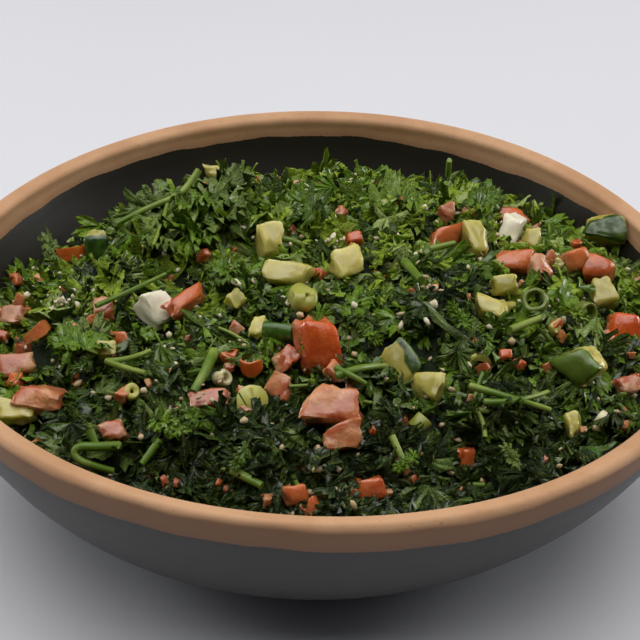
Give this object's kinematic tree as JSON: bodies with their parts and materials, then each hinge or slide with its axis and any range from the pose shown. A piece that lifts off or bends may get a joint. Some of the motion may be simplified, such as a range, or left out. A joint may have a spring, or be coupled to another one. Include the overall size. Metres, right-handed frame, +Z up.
{
  "type": "tabbouleh salad in a stoneware bowl",
  "caption": "Shallow round stoneware bowl with an unglazed rim, heaped with finely chopped parsley salad with tomato, cucumber, spring onion and bulgur.",
  "frame": {"origin": "middle of the bowl's flat foot, on the surface it stands on", "axes": "+Z up through the middle of the bowl; +X to the right and +Y to the back of the shown view"},
  "size_m": [0.22, 0.22, 0.0715],
  "materials": {
    "stoneware": "satin charcoal glaze inside and out, with a band of bare tan clay along the lip",
    "parsley": "wet chopped leaves, dark green with paler undersides and stems",
    "tomato": "wet diced flesh, orange-red skin and pale pink cut faces",
    "cucumber": "wet diced flesh, pale yellow-green with some dark green skin",
    "onion": "sliced spring onion, cream-white to green",
    "bulgur": "soaked cracked wheat grains, off-white to tan"
  },
  "bodies": {
    "root": {"bowl": "stoneware", "salad": "parsley"}
  },
  "joints": []
}
